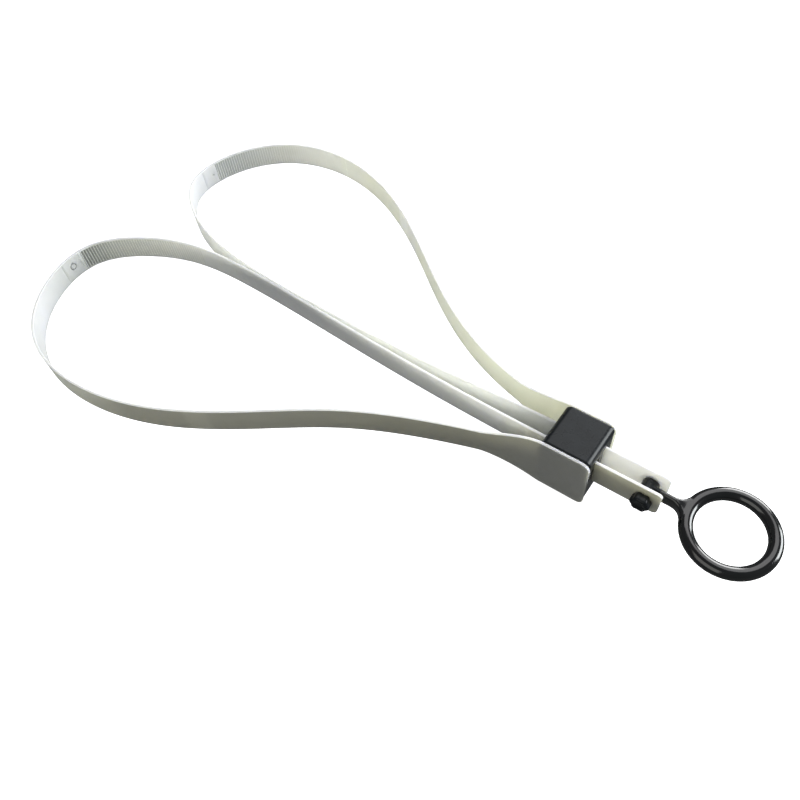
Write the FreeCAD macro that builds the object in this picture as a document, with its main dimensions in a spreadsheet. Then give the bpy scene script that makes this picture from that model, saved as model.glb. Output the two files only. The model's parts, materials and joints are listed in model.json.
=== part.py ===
"""Double-loop strap restraint: two toothed nylon straps, one lock block and a pull ring.

The frame: X runs along the object from the loops (-X) to the pull ring (+X), Y across it and
Z up.  The origin is the middle of the lock block's underside.  The strap on the -Y side is
called near and the one on the +Y side far.  All sizes are in millimetres.
"""
import FreeCAD, Part
import math
import os
import Sketcher

DIMENSIONS = [
    ("strap_width", 12.7, "height of a strap standing on edge"),
    ("strap_thick", 1.2, "thickness of a strap over its teeth"),
    ("strap_level", 8.3, "lower edge of the straps above the block's underside"),
    ("strap_spacing", 8.2, "between the middles of the two straps in the lock block"),
    ("strap_front", 37.2, "front end of the straps"),
    ("tail_back", 125.0, "how far behind the origin the straight part of a strap reaches"),
    ("strap_corner", 1.6, "corner radius of a strap's front end"),
    ("tooth_pitch", 1.5, "distance from tooth to tooth"),
    ("tooth_depth", 0.35, "depth of a tooth"),
    ("block_length", 21.0, "lock block along X"),
    ("block_width", 21.2, "lock block across Y, without the strap tabs"),
    ("block_height", 27.0, "lock block along Z"),
    ("block_round", 3.0, "radius of the block's long upper edges"),
    ("block_foot_round", 2.0, "radius of the block's long lower edges"),
    ("block_edge_round", 1.0, "radius of the edges round the block's two sides"),
    ("side_wall", 1.6, "wall outside the pawl chambers"),
    ("chamber_length", 13.6, "pawl chamber along X"),
    ("chamber_roof", 22.0, "underside of the block's roof"),
    ("slot_gap", 0.3, "free space round a strap in its slot"),
    ("window_depth", 1.2, "recess round a strap in the block's front"),
    ("window_margin", 1.7, "how far the recess opens towards the middle"),
    ("core_wall", 1.5, "wall of the hollow middle rib"),
    ("cover_thick", 2.0, "closing plate under the block"),
    ("cover_gap", 0.1, "play round the closing plate"),
    ("stud_size", 3.0, "diameter of a stud that locates a strap tab"),
    ("stud_rise", 0.6, "height of such a stud"),
    ("stud_spread", 10.0, "between the two studs of a side"),
    ("stud_play", 0.05, "radial play of a stud in its tab"),
    ("tab_height", 26.8, "height of the wide tab at the fixed end of a strap"),
    ("tab_front", 10.9, "front edge of the tab"),
    ("tab_round", 3.0, "corner radius of the tab"),
    ("tab_taper", 22.0, "length over which the tab narrows to the strap"),
    ("axle_size", 1.5, "diameter of a pawl axle"),
    ("axle_play", 0.05, "radial play between pawl and axle"),
    ("axle_fit", 0.02, "radial room of an axle in the block and the cover"),
    ("axle_x", -3.6, "pawl axle along X"),
    ("axle_y", 7.0, "pawl axle from the middle plane"),
    ("pawl_height", 12.0, "height of a pawl"),
    ("pawl_hub", 3.4, "diameter of a pawl round its axle"),
    ("pawl_tip_gap", 0.12, "space between pawl teeth and strap teeth at rest"),
    ("leaf_thick", 0.3, "thickness of a leaf spring"),
    ("leaf_height", 8.0, "height of a leaf spring"),
    ("pull_axis", 30.8, "cross pin along X"),
    ("cross_pin_size", 3.2, "diameter of the cross pin"),
    ("cross_pin_play", 0.05, "radial play on the cross pin"),
    ("head_size", 7.0, "diameter of the cross pin's head"),
    ("head_thick", 3.6, "thickness of the cross pin's head"),
    ("cap_size", 6.6, "diameter of the cap on the cross pin's far end"),
    ("cap_thick", 2.4, "thickness of that cap"),
    ("side_play", 0.1, "play between a strap and the pin's head or cap"),
    ("hub_size", 6.6, "diameter of the pull ring's hub"),
    ("hub_width", 6.4, "hub across Y"),
    ("ring_reach", 31.5, "from the cross pin to the middle of the ring"),
    ("ring_radius", 15.35, "from the middle of the ring to the middle of its section"),
    ("ring_section", 5.3, "diameter of the ring's section"),
    ("ring_droop", 1.4, "angle in degrees by which the ring hangs down at rest"),
    ("stem_height", 6.2, "height of the stem at the hub"),
    ("stem_width", 2.4, "stem across Y"),
    ("stem_straight", 9.0, "length of the stem before it flares into the ring"),
    ("web_height", 4.4, "height of the web between stem and ring"),
]

NEAR, FAR = -1, 1
SIDE_NAMES = {NEAR: "near", FAR: "far"}
STATION_SPACING = 10.0  # mm along a strap between the points that its faces pass through

# Middle line of each strap in plan (X, Y): the outer leg, and the free loop that follows it.
LEGS = {
    NEAR: [(-30.0, -15.0), (-58.5, -25.0), (-90.0, -40.0), (-123.0, -62.5), (-157.0, -83.0),
           (-198.5, -94.5)],
    FAR: [(-30.5, 13.5), (-59.0, 22.5), (-89.5, 39.5), (-121.5, 63.5), (-154.5, 86.0),
          (-204.0, 103.5)],
}
BENDS = {
    NEAR: [(-239.5, -89.0), (-269.0, -63.0), (-275.5, -30.5), (-253.5, -9.0), (-225.5, 1.0),
           (-190.5, 3.1)],
    FAR: [(-240.5, 99.0), (-265.5, 76.0), (-269.0, 42.5), (-247.5, 22.0), (-220.0, 11.0),
          (-185.5, 5.2)],
}

doc = FreeCAD.newDocument("strap_restraint")
sheet = doc.addObject("Spreadsheet::Sheet", "dims")
for row, (alias, value, meaning) in enumerate(DIMENSIONS, start=1):
    sheet.set(f"A{row}", meaning)
    sheet.set(f"B{row}", str(value))
    sheet.setAlias(f"B{row}", alias)
doc.recompute()


class Size:
    """A length that knows its value in mm and the expression that gives it in the sheet."""

    def __init__(self, value, text):
        self.value = float(value)
        self.text = text

    @staticmethod
    def of(other):
        return other if isinstance(other, Size) else Size(other, str(float(other)))

    def __add__(self, other):
        other = Size.of(other)
        return Size(self.value + other.value, f"({self.text} + {other.text})")

    def __sub__(self, other):
        other = Size.of(other)
        return Size(self.value - other.value, f"({self.text} - {other.text})")

    def __mul__(self, other):
        other = Size.of(other)
        return Size(self.value * other.value, f"({self.text} * {other.text})")

    def __truediv__(self, other):
        other = Size.of(other)
        return Size(self.value / other.value, f"({self.text} / {other.text})")

    def __neg__(self):
        return self * -1

    def __radd__(self, other):
        return Size.of(other) + self

    def __rsub__(self, other):
        return Size.of(other) - self

    def __rmul__(self, other):
        return self * other


def dim(alias):
    """A driving dimension as a Size."""
    return Size(sheet.get(alias), f"dims.{alias}")


def bind(thing, prop, size):
    """Tie a property to the sheet."""
    size = Size.of(size)
    if "." not in prop:
        setattr(thing, prop, size.value)
    thing.setExpression(prop, size.text)


# Places that several pieces share.
half_gap = dim("strap_spacing") / 2
inner_face = half_gap - dim("strap_thick") / 2
outer_face = half_gap + dim("strap_thick") / 2
half_length = dim("block_length") / 2
half_width = dim("block_width") / 2
strap_top = dim("strap_level") + dim("strap_width")
strap_middle = dim("strap_level") + dim("strap_width") / 2
tab_middle = half_width + dim("strap_thick") / 2
chamber_wall = half_width - dim("side_wall")
pin_radius = dim("cross_pin_size") / 2


# ---------------------------------------------------------------- sketches and features

def new_body(label):
    body = doc.addObject("PartDesign::Body", label)
    body.Label = label
    return body


def new_sketch(body, name, role, offset=0.0):
    """A sketch on one of the body's own origin planes, moved along the plane's normal."""
    plane = [f for f in body.Origin.OriginFeatures if f.Role == role][0]
    sketch = body.newObject("Sketcher::SketchObject", name)
    sketch.AttachmentSupport = [(plane, "")]
    sketch.MapMode = "FlatFace"
    offset = Size.of(offset)
    sketch.AttachmentOffset = FreeCAD.Placement(FreeCAD.Vector(0, 0, offset.value), FreeCAD.Rotation())
    sketch.setExpression(".AttachmentOffset.Base.z", offset.text)
    return sketch


def pin_point(sketch, geometry, end, point):
    """Fix one end of a line, or a circle's centre, at a pair of Sizes."""
    for kind, axis, size in (("DistanceX", -2, point[0]), ("DistanceY", -1, point[1])):
        size = Size.of(size)
        if abs(size.value) < 1e-9:
            sketch.addConstraint(Sketcher.Constraint("PointOnObject", geometry, end, axis))
            continue
        index = sketch.addConstraint(Sketcher.Constraint(kind, -1, 1, geometry, end, size.value))
        sketch.setExpression(f"Constraints[{index}]", size.text)


def outline(sketch, points):
    """A closed polygon whose corners are pairs of Sizes."""
    corners = [FreeCAD.Vector(Size.of(x).value, Size.of(y).value, 0) for x, y in points]
    first = sketch.GeometryCount
    count = len(corners)
    for i in range(count):
        sketch.addGeometry(Part.LineSegment(corners[i], corners[(i + 1) % count]), False)
    for i in range(count):
        following = first + (i + 1) % count
        sketch.addConstraint(Sketcher.Constraint("Coincident", first + i, 2, following, 1))
        pin_point(sketch, first + i, 1, points[i])


def rectangle(sketch, x_low, x_high, y_low, y_high):
    outline(sketch, [(x_low, y_low), (x_high, y_low), (x_high, y_high), (x_low, y_high)])


def circle(sketch, centre, radius):
    radius = Size.of(radius)
    middle = FreeCAD.Vector(Size.of(centre[0]).value, Size.of(centre[1]).value, 0)
    index = sketch.addGeometry(Part.Circle(middle, FreeCAD.Vector(0, 0, 1), radius.value), False)
    pin_point(sketch, index, 3, centre)
    constraint = sketch.addConstraint(Sketcher.Constraint("Radius", index, radius.value))
    sketch.setExpression(f"Constraints[{constraint}]", radius.text)


def pad(body, sketch, length, both_ways=False):
    feature = body.newObject("PartDesign::Pad", sketch.Name + "_pad")
    feature.Profile = sketch
    bind(feature, "Length", length)
    feature.SideType = "Symmetric" if both_ways else "One side"
    sketch.Visibility = False
    doc.recompute()
    return feature


def pocket(body, sketch, depth, reverse=False, both_ways=False):
    """Cut the sketch out of the body and make sure that it removed something."""
    before = body.Shape.Volume
    feature = body.newObject("PartDesign::Pocket", sketch.Name + "_pocket")
    feature.Profile = sketch
    bind(feature, "Length", depth)
    feature.SideType = "Symmetric" if both_ways else "One side"
    feature.Reversed = reverse
    doc.recompute()
    if feature.Shape.Volume > before - 1e-3:
        raise RuntimeError(f"{feature.Name} cut nothing")
    return feature


def revolve(body, sketch, role):
    feature = body.newObject("PartDesign::Revolution", sketch.Name + "_turned")
    feature.Profile = sketch
    axis = [f for f in body.Origin.OriginFeatures if f.Role == role][0]
    feature.ReferenceAxis = (axis, [""])
    feature.Angle = 360.0
    doc.recompute()
    return feature


def edges_along(shape, direction, wanted):
    """Names of the straight edges along a direction whose middle satisfies wanted(point)."""
    names = []
    for number, edge in enumerate(shape.Edges, start=1):
        if edge.Curve.TypeId != "Part::GeomLine":
            continue
        if abs(edge.Curve.Direction.dot(direction)) < 0.999:
            continue
        if wanted(edge.CenterOfMass):
            names.append(f"Edge{number}")
    return names


def edges_at_side(shape, distance):
    """Names of the edges that lie in the planes Y = +distance and Y = -distance."""
    return [f"Edge{number}" for number, edge in enumerate(shape.Edges, start=1)
            if all(abs(abs(v.Point.y) - distance) < 1e-3 for v in edge.Vertexes)
            and abs(abs(edge.CenterOfMass.y) - distance) < 1e-3]


def round_edges(body, base, names, radius):
    feature = body.newObject("PartDesign::Fillet", "round_" + str(len(body.Group)))
    feature.Base = (base, names)
    bind(feature, "Radius", radius)
    doc.recompute()
    return feature


# ---------------------------------------------------------------- lock block

def lock_housing():
    """The black block: two strap slots, two pawl chambers open below and a hollow middle rib."""
    body = new_body("lock_housing")
    profile = new_sketch(body, "housing_profile", "XZ_Plane")
    rectangle(profile, -half_length, half_length, 0.0, dim("block_height"))
    block = pad(body, profile, dim("block_width"), both_ways=True)
    along_y = FreeCAD.Vector(0, 1, 0)
    middle_height = dim("block_height").value / 2
    upper = edges_along(block.Shape, along_y, lambda p: p.z > middle_height)
    rounded = round_edges(body, block, upper, dim("block_round"))
    lower = edges_along(rounded.Shape, along_y, lambda p: p.z < 0.01)
    rounded = round_edges(body, rounded, lower, dim("block_foot_round"))
    sides = edges_at_side(rounded.Shape, half_width.value)
    round_edges(body, rounded, sides, dim("block_edge_round"))

    for side in (NEAR, FAR):
        name = SIDE_NAMES[side]
        studs = new_sketch(body, f"studs_{name}", "XZ_Plane", half_width * -side)
        for end in (-1, 1):
            circle(studs, (dim("stud_spread") / 2 * end, strap_middle), dim("stud_size") / 2)
        raised = pad(body, studs, dim("stud_rise"))
        raised.Reversed = side == FAR
        doc.recompute()

        chamber = new_sketch(body, f"chamber_{name}", "XY_Plane")
        inner = inner_face - dim("slot_gap")
        rectangle(chamber, -(dim("chamber_length") / 2), dim("chamber_length") / 2,
                  inner * side, chamber_wall * side)
        pocket(body, chamber, dim("chamber_roof"), reverse=True)

        slot = new_sketch(body, f"slot_{name}", "YZ_Plane")
        rectangle(slot, inner * side, (outer_face + dim("slot_gap")) * side,
                  dim("strap_level") - dim("slot_gap"), strap_top + dim("slot_gap"))
        pocket(body, slot, dim("block_length") + 2, both_ways=True)

        window = new_sketch(body, f"window_{name}", "YZ_Plane", half_length)
        rectangle(window, (inner - dim("window_margin")) * side, (outer_face + dim("slot_gap") * 2) * side,
                  dim("strap_level") - dim("slot_gap") * 2, strap_top + dim("slot_gap") * 2)
        pocket(body, window, dim("window_depth"))

        seat = new_sketch(body, f"axle_seat_{name}", "XY_Plane", dim("chamber_roof"))
        circle(seat, (dim("axle_x"), dim("axle_y") * side), dim("axle_size") / 2 + dim("axle_fit"))
        pocket(body, seat, dim("cover_thick") + 0.2, reverse=True)

    core = new_sketch(body, "core", "XY_Plane")
    core_half = inner_face - dim("slot_gap") - dim("core_wall")
    rectangle(core, -(dim("chamber_length") / 2), dim("chamber_length") / 2, -core_half, core_half)
    pocket(body, core, dim("chamber_roof") - dim("core_wall"), reverse=True)

    recess = new_sketch(body, "cover_recess", "XY_Plane")
    rectangle(recess, -(dim("chamber_length") / 2 + 1.4), dim("chamber_length") / 2 + 1.4,
              -(chamber_wall + 0.6), chamber_wall + 0.6)
    pocket(body, recess, dim("cover_thick"), reverse=True)
    return body


def base_cover():
    """The plate that closes the block from below and holds the lower ends of the pawl axles."""
    body = new_body("base_cover")
    gap = dim("cover_gap")
    plate = new_sketch(body, "cover_plate", "XY_Plane")
    reach_x = dim("chamber_length") / 2 + 1.4 - gap
    reach_y = chamber_wall + 0.6 - gap
    rectangle(plate, -reach_x, reach_x, -reach_y, reach_y)
    pad(body, plate, dim("cover_thick") - gap)
    plug = new_sketch(body, "cover_plug", "XY_Plane", dim("cover_thick") - gap)
    plug_half = inner_face - dim("slot_gap") - dim("core_wall") - gap
    plug_reach = dim("chamber_length") / 2 - gap
    rectangle(plug, -plug_reach, plug_reach, -plug_half, plug_half)
    pad(body, plug, dim("cover_thick"))
    seats = new_sketch(body, "cover_axle_seats", "XY_Plane", dim("cover_thick") - gap)
    for side in (NEAR, FAR):
        circle(seats, (dim("axle_x"), dim("axle_y") * side), dim("axle_size") / 2 + dim("axle_fit"))
    pocket(body, seats, dim("cover_thick") / 2)
    return body


def pawl(side):
    """A toothed locking pawl: it trails along the strap and bites when the strap is pulled back."""
    body = new_body(f"{SIDE_NAMES[side]}_pawl")
    pitch = dim("tooth_pitch")
    tip_y = outer_face + dim("pawl_tip_gap")
    root_y = tip_y + dim("tooth_depth")
    hub = dim("pawl_hub") / 2
    level = strap_middle - dim("pawl_height") / 2
    arm = new_sketch(body, f"pawl_arm_{side + 1}", "XY_Plane", level)
    last_tip = last_pawl_tooth()
    points = [(dim("axle_x"), dim("axle_y") - hub)]
    for number in range(3):
        tip_x = last_tip - pitch * (2 - number)
        points.append((tip_x - pitch + 0.1, root_y))
        points.append((tip_x - 0.1, tip_y))
        points.append((tip_x, tip_y))
    points.append((last_tip, tip_y + 1.5))
    points.append((dim("axle_x"), dim("axle_y") + hub))
    outline(arm, [(x, y * side) for x, y in points])
    pad(body, arm, dim("pawl_height"))
    boss = new_sketch(body, f"pawl_boss_{side + 1}", "XY_Plane", level)
    circle(boss, (dim("axle_x"), dim("axle_y") * side), hub)
    pad(body, boss, dim("pawl_height"))
    bore = new_sketch(body, f"pawl_bore_{side + 1}", "XY_Plane", level)
    circle(bore, (dim("axle_x"), dim("axle_y") * side), dim("axle_size") / 2 + dim("axle_play"))
    pocket(body, bore, dim("pawl_height"), reverse=True)
    return body


def last_pawl_tooth():
    """Where the steep face of a pawl's last tooth stands, just behind a strap tooth."""
    return dim("tooth_pitch") * 3 - 0.05


def pawl_axle(side):
    """Steel pin on which a pawl turns, held in the block's roof and in the cover."""
    axle = doc.addObject("Part::Cylinder", f"{SIDE_NAMES[side]}_pawl_axle")
    axle.Label = axle.Name
    bottom = dim("cover_thick") / 2 + 0.1
    bind(axle, "Radius", dim("axle_size") / 2)
    bind(axle, "Height", dim("chamber_roof") + dim("cover_thick") - bottom)
    place = FreeCAD.Vector(dim("axle_x").value, dim("axle_y").value * side, bottom.value)
    axle.Placement = FreeCAD.Placement(place, FreeCAD.Rotation())
    axle.setExpression(".Placement.Base.x", dim("axle_x").text)
    axle.setExpression(".Placement.Base.y", (dim("axle_y") * side).text)
    axle.setExpression(".Placement.Base.z", bottom.text)
    return axle


def pawl_spring(side):
    """A folded steel leaf between the chamber's outer wall and the back of the pawl."""
    body = new_body(f"{SIDE_NAMES[side]}_pawl_spring")
    thick = dim("leaf_thick")
    wall = chamber_wall - 0.05
    fold = dim("chamber_length") / 2 - 0.6
    touch_x = last_pawl_tooth() - 1.4
    touch_y = outer_face + dim("pawl_tip_gap") + 2.05
    leaf = new_sketch(body, f"leaf_{side + 1}", "XY_Plane", strap_middle - dim("leaf_height") / 2)
    points = [
        (-1.4, wall), (fold - 0.5, wall), (fold, wall - 0.5), (fold - 0.1, wall - 1.0),
        (touch_x, touch_y), (touch_x - 0.8, touch_y + 0.4), (touch_x - 0.6, touch_y + 0.4 + thick),
        (touch_x, touch_y + thick * 1.2), (fold - 0.5, wall - 0.9), (fold - thick * 1.1, wall - 0.6),
        (fold - 0.6, wall - thick), (-1.4, wall - thick),
    ]
    outline(leaf, [(x, y * side) for x, y in points])
    pad(body, leaf, dim("leaf_height"))
    return body


# ---------------------------------------------------------------- straps

def smooth_curve(points, start, end):
    """A smooth curve through points with given end directions; its parameter is about its length."""
    lengths = [0.0]
    for before, after in zip(points, points[1:]):
        lengths.append(lengths[-1] + before.distanceToPoint(after))
    curve = Part.BSplineCurve()
    curve.interpolate(Points=points, Parameters=lengths, InitialTangent=start, FinalTangent=end, Scale=False)
    return curve


def plan_curve(points, level, start, end):
    """The middle line of a strap in plan, at a given height."""
    vectors = [FreeCAD.Vector(x, y, level) for x, y in points]
    return smooth_curve(vectors, FreeCAD.Vector(*start), FreeCAD.Vector(*end))


def strap_strip(curve, first, last, height):
    """A strip of strap thickness that stands on edge along part of a plan curve."""
    half = dim("strap_thick").value / 2
    stations = round((last - first) / STATION_SPACING)
    sides = []
    for sign in (1, -1):
        offset_points = []
        for i in range(stations + 1):
            at = first + (last - first) * i / stations
            tangent = curve.tangent(at)[0]
            normal = FreeCAD.Vector(-tangent.y, tangent.x, 0)
            offset_points.append(curve.value(at) + normal * (half * sign))
        face_line = smooth_curve(offset_points, curve.tangent(first)[0], curve.tangent(last)[0])
        sides.append((face_line.toShape(), offset_points))
    (left, left_points), (right, right_points) = sides
    caps = [Part.makeLine(left_points[i], right_points[i]) for i in (0, -1)]
    wire = Part.Wire(Part.__sortEdges__([left, caps[1], right, caps[0]]))
    return Part.Face(wire).extrude(FreeCAD.Vector(0, 0, height))


def feature_from(label, shape):
    """A document object that holds a shape made with Part's own functions."""
    feature = doc.addObject("Part::Feature", label)
    feature.Label = label
    feature.Shape = shape
    feature.Placement = FreeCAD.Placement()
    return feature


def side_profile(extent):
    """Side view of tab, taper and strap, as a slab across Y that trims the anchor."""
    height, low, high = dim("tab_height").value, dim("strap_level").value, strap_top.value
    front, radius = dim("tab_front").value, dim("tab_round").value
    back = -half_length.value + 1.5
    narrow = back - dim("tab_taper").value
    lean = radius * (1 - math.sqrt(0.5))
    point = lambda x, z: FreeCAD.Vector(x, -extent, z)
    top_arc = Part.Arc(point(front, height - radius), point(front - lean, height - lean),
                       point(front - radius, height))
    foot_arc = Part.Arc(point(front - radius, 0), point(front - lean, lean), point(front, radius))
    edges = [
        Part.makeLine(point(-400, low), point(narrow, low)),
        Part.makeLine(point(narrow, low), point(back, 0)),
        Part.makeLine(point(back, 0), point(front - radius, 0)),
        foot_arc.toShape(),
        Part.makeLine(point(front, radius), point(front, height - radius)),
        top_arc.toShape(),
        Part.makeLine(point(front - radius, height), point(back, height)),
        Part.makeLine(point(back, height), point(narrow, high)),
        Part.makeLine(point(narrow, high), point(-400, high)),
        Part.makeLine(point(-400, high), point(-400, low)),
    ]
    return Part.Face(Part.Wire(edges)).extrude(FreeCAD.Vector(0, 2 * extent, 0))


def strap_route(side, level):
    """A strap's middle line from its tab round to its straight tail, and where its leg ends on it."""
    start = (-half_length.value, tab_middle.value * side)
    tail_start = (-dim("tail_back").value, half_gap.value * side)
    points = [start] + LEGS[side] + BENDS[side] + [tail_start]
    curve = plan_curve(points, level, (-1, 0, 0), (1, 0, 0))
    corner = FreeCAD.Vector(*LEGS[side][-1], level)
    return curve, curve.parameter(corner)


def strap_anchor(side):
    """The fixed end of a strap: the wide tab on the block's side and the outer leg of the loop."""
    curve, leg_end = strap_route(side, 0.0)
    strip = strap_strip(curve, curve.FirstParameter, leg_end, dim("tab_height").value)
    thick = dim("strap_thick").value
    back = -half_length.value
    tab = Part.makeBox(dim("tab_front").value - back, thick, dim("tab_height").value,
                       FreeCAD.Vector(back, tab_middle.value * side - thick / 2, 0))
    shape = strip.fuse(tab).common(side_profile(150.0)).removeSplitter()
    hole_radius = dim("stud_size").value / 2 + dim("stud_play").value
    depth = dim("stud_rise").value + 0.1
    for end in (-1, 1):
        base = FreeCAD.Vector(dim("stud_spread").value / 2 * end, half_width.value * side, strap_middle.value)
        hole = Part.makeCylinder(hole_radius, depth, base, FreeCAD.Vector(0, side, 0))
        shape = shape.cut(hole)
    return feature_from(f"{SIDE_NAMES[side]}_strap_anchor", shape)


def strap_bend(side):
    """The free loop of a strap, from the end of the outer leg round to the straight tail."""
    curve, leg_end = strap_route(side, dim("strap_level").value)
    strip = strap_strip(curve, leg_end, curve.LastParameter, dim("strap_width").value)
    return feature_from(f"{SIDE_NAMES[side]}_strap_bend", strip)


def strap_tail(side):
    """The toothed running end of a strap: straight through the block to the cross pin."""
    pitch, depth = dim("tooth_pitch").value, dim("tooth_depth").value
    inner, outer = inner_face.value, outer_face.value
    back, front = -dim("tail_back").value, dim("strap_front").value
    low, high = dim("strap_level").value, strap_top.value
    first = math.ceil((back + pitch) / pitch)
    last = math.floor((half_length.value - pitch) / pitch)
    points = [(back, inner), (back, outer)]
    for number in range(first, last):
        points.append((number * pitch, outer))
        points.append(((number + 1) * pitch, outer - depth))
    points.append((last * pitch, outer))
    points += [(front, outer), (front, inner)]
    corners = [FreeCAD.Vector(x, y * side, low) for x, y in points]
    strip = Part.Face(Part.makePolygon(corners + corners[:1])).extrude(FreeCAD.Vector(0, 0, high - low))
    ends = [e for e in strip.Edges if e.Curve.TypeId == "Part::GeomLine"
            and abs(e.CenterOfMass.x - front) < 1e-3 and abs(e.Curve.Direction.y) > 0.999]
    strip = strip.makeFillet(dim("strap_corner").value, ends)
    hole = Part.makeCylinder(pin_radius.value + dim("cross_pin_play").value, 20.0,
                             FreeCAD.Vector(dim("pull_axis").value, -10.0, strap_middle.value),
                             FreeCAD.Vector(0, 1, 0))
    return feature_from(f"{SIDE_NAMES[side]}_strap_tail", strip.cut(hole))


# ---------------------------------------------------------------- pull ring and its pin

def turned_on_pin(label, points):
    """A body turned about the cross pin's axis from a half outline of (radius, Y) corners."""
    body = new_body(label)
    half = new_sketch(body, label + "_half", "XY_Plane")
    outline(half, points)
    revolve(body, half, "Y_Axis")
    body.Placement = FreeCAD.Placement(FreeCAD.Vector(dim("pull_axis").value, 0, strap_middle.value),
                                       FreeCAD.Rotation())
    body.setExpression(".Placement.Base.x", dim("pull_axis").text)
    body.setExpression(".Placement.Base.z", strap_middle.text)
    return body


def cross_pin():
    """The black pin through both straps and the ring's hub, with a thick bevelled head."""
    head_under = -(outer_face + dim("side_play"))
    head_face = head_under - dim("head_thick")
    end = outer_face + dim("side_play") + dim("cap_thick") - 0.4
    head = dim("head_size") / 2
    return turned_on_pin("cross_pin", [
        (0.0, head_face), (head - 1.1, head_face), (head - 0.3, head_face + 0.6), (head, head_face + 1.5),
        (head, head_under), (pin_radius, head_under), (pin_radius, end), (0.0, end),
    ])


def pin_cap():
    """The cap pressed on the far end of the cross pin."""
    under = outer_face + dim("side_play")
    top = under + dim("cap_thick")
    rim = dim("cap_size") / 2
    seat = top - 0.4
    return turned_on_pin("pin_cap", [
        (pin_radius, under), (rim, under), (rim, top - 0.6), (rim - 0.6, top), (0.0, top),
        (0.0, seat), (pin_radius, seat),
    ])


def pull_ring():
    """One moulding: the hub between the straps, the stem, the flat web and the finger ring."""
    centre_x = dim("pull_axis") + dim("ring_reach")
    ring = doc.addObject("Part::Torus", "finger_ring")
    bind(ring, "Radius1", dim("ring_radius"))
    bind(ring, "Radius2", dim("ring_section") / 2)
    ring.Placement = FreeCAD.Placement(FreeCAD.Vector(centre_x.value, 0, strap_middle.value), FreeCAD.Rotation())
    ring.setExpression(".Placement.Base.x", centre_x.text)
    ring.setExpression(".Placement.Base.z", strap_middle.text)

    stem = doc.addObject("Part::Feature", "stem")
    stem.Shape = stem_shape(centre_x.value)

    hub = doc.addObject("Part::Cylinder", "hub")
    bind(hub, "Radius", dim("hub_size") / 2)
    bind(hub, "Height", dim("hub_width"))
    bore = doc.addObject("Part::Cylinder", "hub_bore")
    bind(bore, "Radius", pin_radius + dim("cross_pin_play"))
    bind(bore, "Height", dim("hub_width") + 2)
    for piece, extra in ((hub, 0.0), (bore, 1.0)):
        reach = dim("hub_width") / 2 + extra
        piece.Placement = FreeCAD.Placement(
            FreeCAD.Vector(dim("pull_axis").value, -reach.value, strap_middle.value),
            FreeCAD.Rotation(FreeCAD.Vector(1, 0, 0), -90))
        piece.setExpression(".Placement.Base.x", dim("pull_axis").text)
        piece.setExpression(".Placement.Base.y", (-reach).text)
        piece.setExpression(".Placement.Base.z", strap_middle.text)

    joined = doc.addObject("Part::MultiFuse", "ring_moulding")
    joined.Shapes = [ring, stem, hub]
    joined.Refine = True
    finished = doc.addObject("Part::Cut", "pull_ring")
    finished.Base = joined
    finished.Tool = bore
    finished.Label = "pull_ring"
    pivot = FreeCAD.Vector(dim("pull_axis").value, 0, strap_middle.value)
    droop = FreeCAD.Rotation(FreeCAD.Vector(0, 1, 0), dim("ring_droop").value)
    finished.Placement = FreeCAD.Placement(FreeCAD.Vector(), droop, pivot)
    return finished


def stem_shape(centre_x):
    """Stem and web: the stem's sides turn through a fillet into the ring's outer circle."""
    half = dim("stem_width").value / 2
    start_x = dim("pull_axis").value
    flare_x = start_x + dim("stem_straight").value
    outer = dim("ring_radius").value + dim("ring_section").value / 2
    reach = centre_x - flare_x
    radius = (reach ** 2 + half ** 2 - outer ** 2) / (2 * (outer - half))
    middle = FreeCAD.Vector(flare_x, half + radius, 0)
    towards = (FreeCAD.Vector(centre_x, 0, 0) - middle).normalize()
    tangent_point = middle + towards * radius
    halfway = (FreeCAD.Vector(0, -1, 0) + towards).normalize()
    arc_middle = middle + halfway * radius
    inner_x = centre_x - dim("ring_radius").value

    mirror = lambda p: FreeCAD.Vector(p.x, -p.y, p.z)
    flare_start = FreeCAD.Vector(flare_x, half, 0)
    hub_side = FreeCAD.Vector(start_x, half, 0)
    ring_side = FreeCAD.Vector(inner_x, tangent_point.y, 0)
    edges = [
        Part.makeLine(hub_side, flare_start),
        Part.Arc(flare_start, arc_middle, tangent_point).toShape(),
        Part.makeLine(tangent_point, ring_side),
        Part.makeLine(ring_side, mirror(ring_side)),
        Part.makeLine(mirror(ring_side), mirror(tangent_point)),
        Part.Arc(mirror(tangent_point), mirror(arc_middle), mirror(flare_start)).toShape(),
        Part.makeLine(mirror(flare_start), mirror(hub_side)),
        Part.makeLine(mirror(hub_side), hub_side),
    ]
    tall = dim("stem_height").value
    plan = Part.Face(Part.Wire(edges)).extrude(FreeCAD.Vector(0, 0, tall))
    plan = plan.translated(FreeCAD.Vector(0, 0, strap_middle.value - tall / 2))

    web = dim("web_height").value
    side_points = [(start_x, tall / 2), (flare_x, tall / 2 - 0.3), (inner_x - 1.0, web / 2),
                   (inner_x + 0.5, web / 2)]
    ring_of_points = side_points + [(x, -z) for x, z in reversed(side_points)]
    corners = [FreeCAD.Vector(x, -20, strap_middle.value + z) for x, z in ring_of_points]
    side_view = Part.Face(Part.makePolygon(corners + corners[:1])).extrude(FreeCAD.Vector(0, 40, 0))
    return plan.common(side_view)


# ---------------------------------------------------------------- the assembly

sub_parts = [lock_housing(), base_cover(), cross_pin(), pin_cap(), pull_ring()]
for side in (NEAR, FAR):
    sub_parts += [pawl(side), pawl_axle(side), pawl_spring(side)]
    sub_parts += [strap_anchor(side), strap_bend(side), strap_tail(side)]
doc.recompute()

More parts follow.
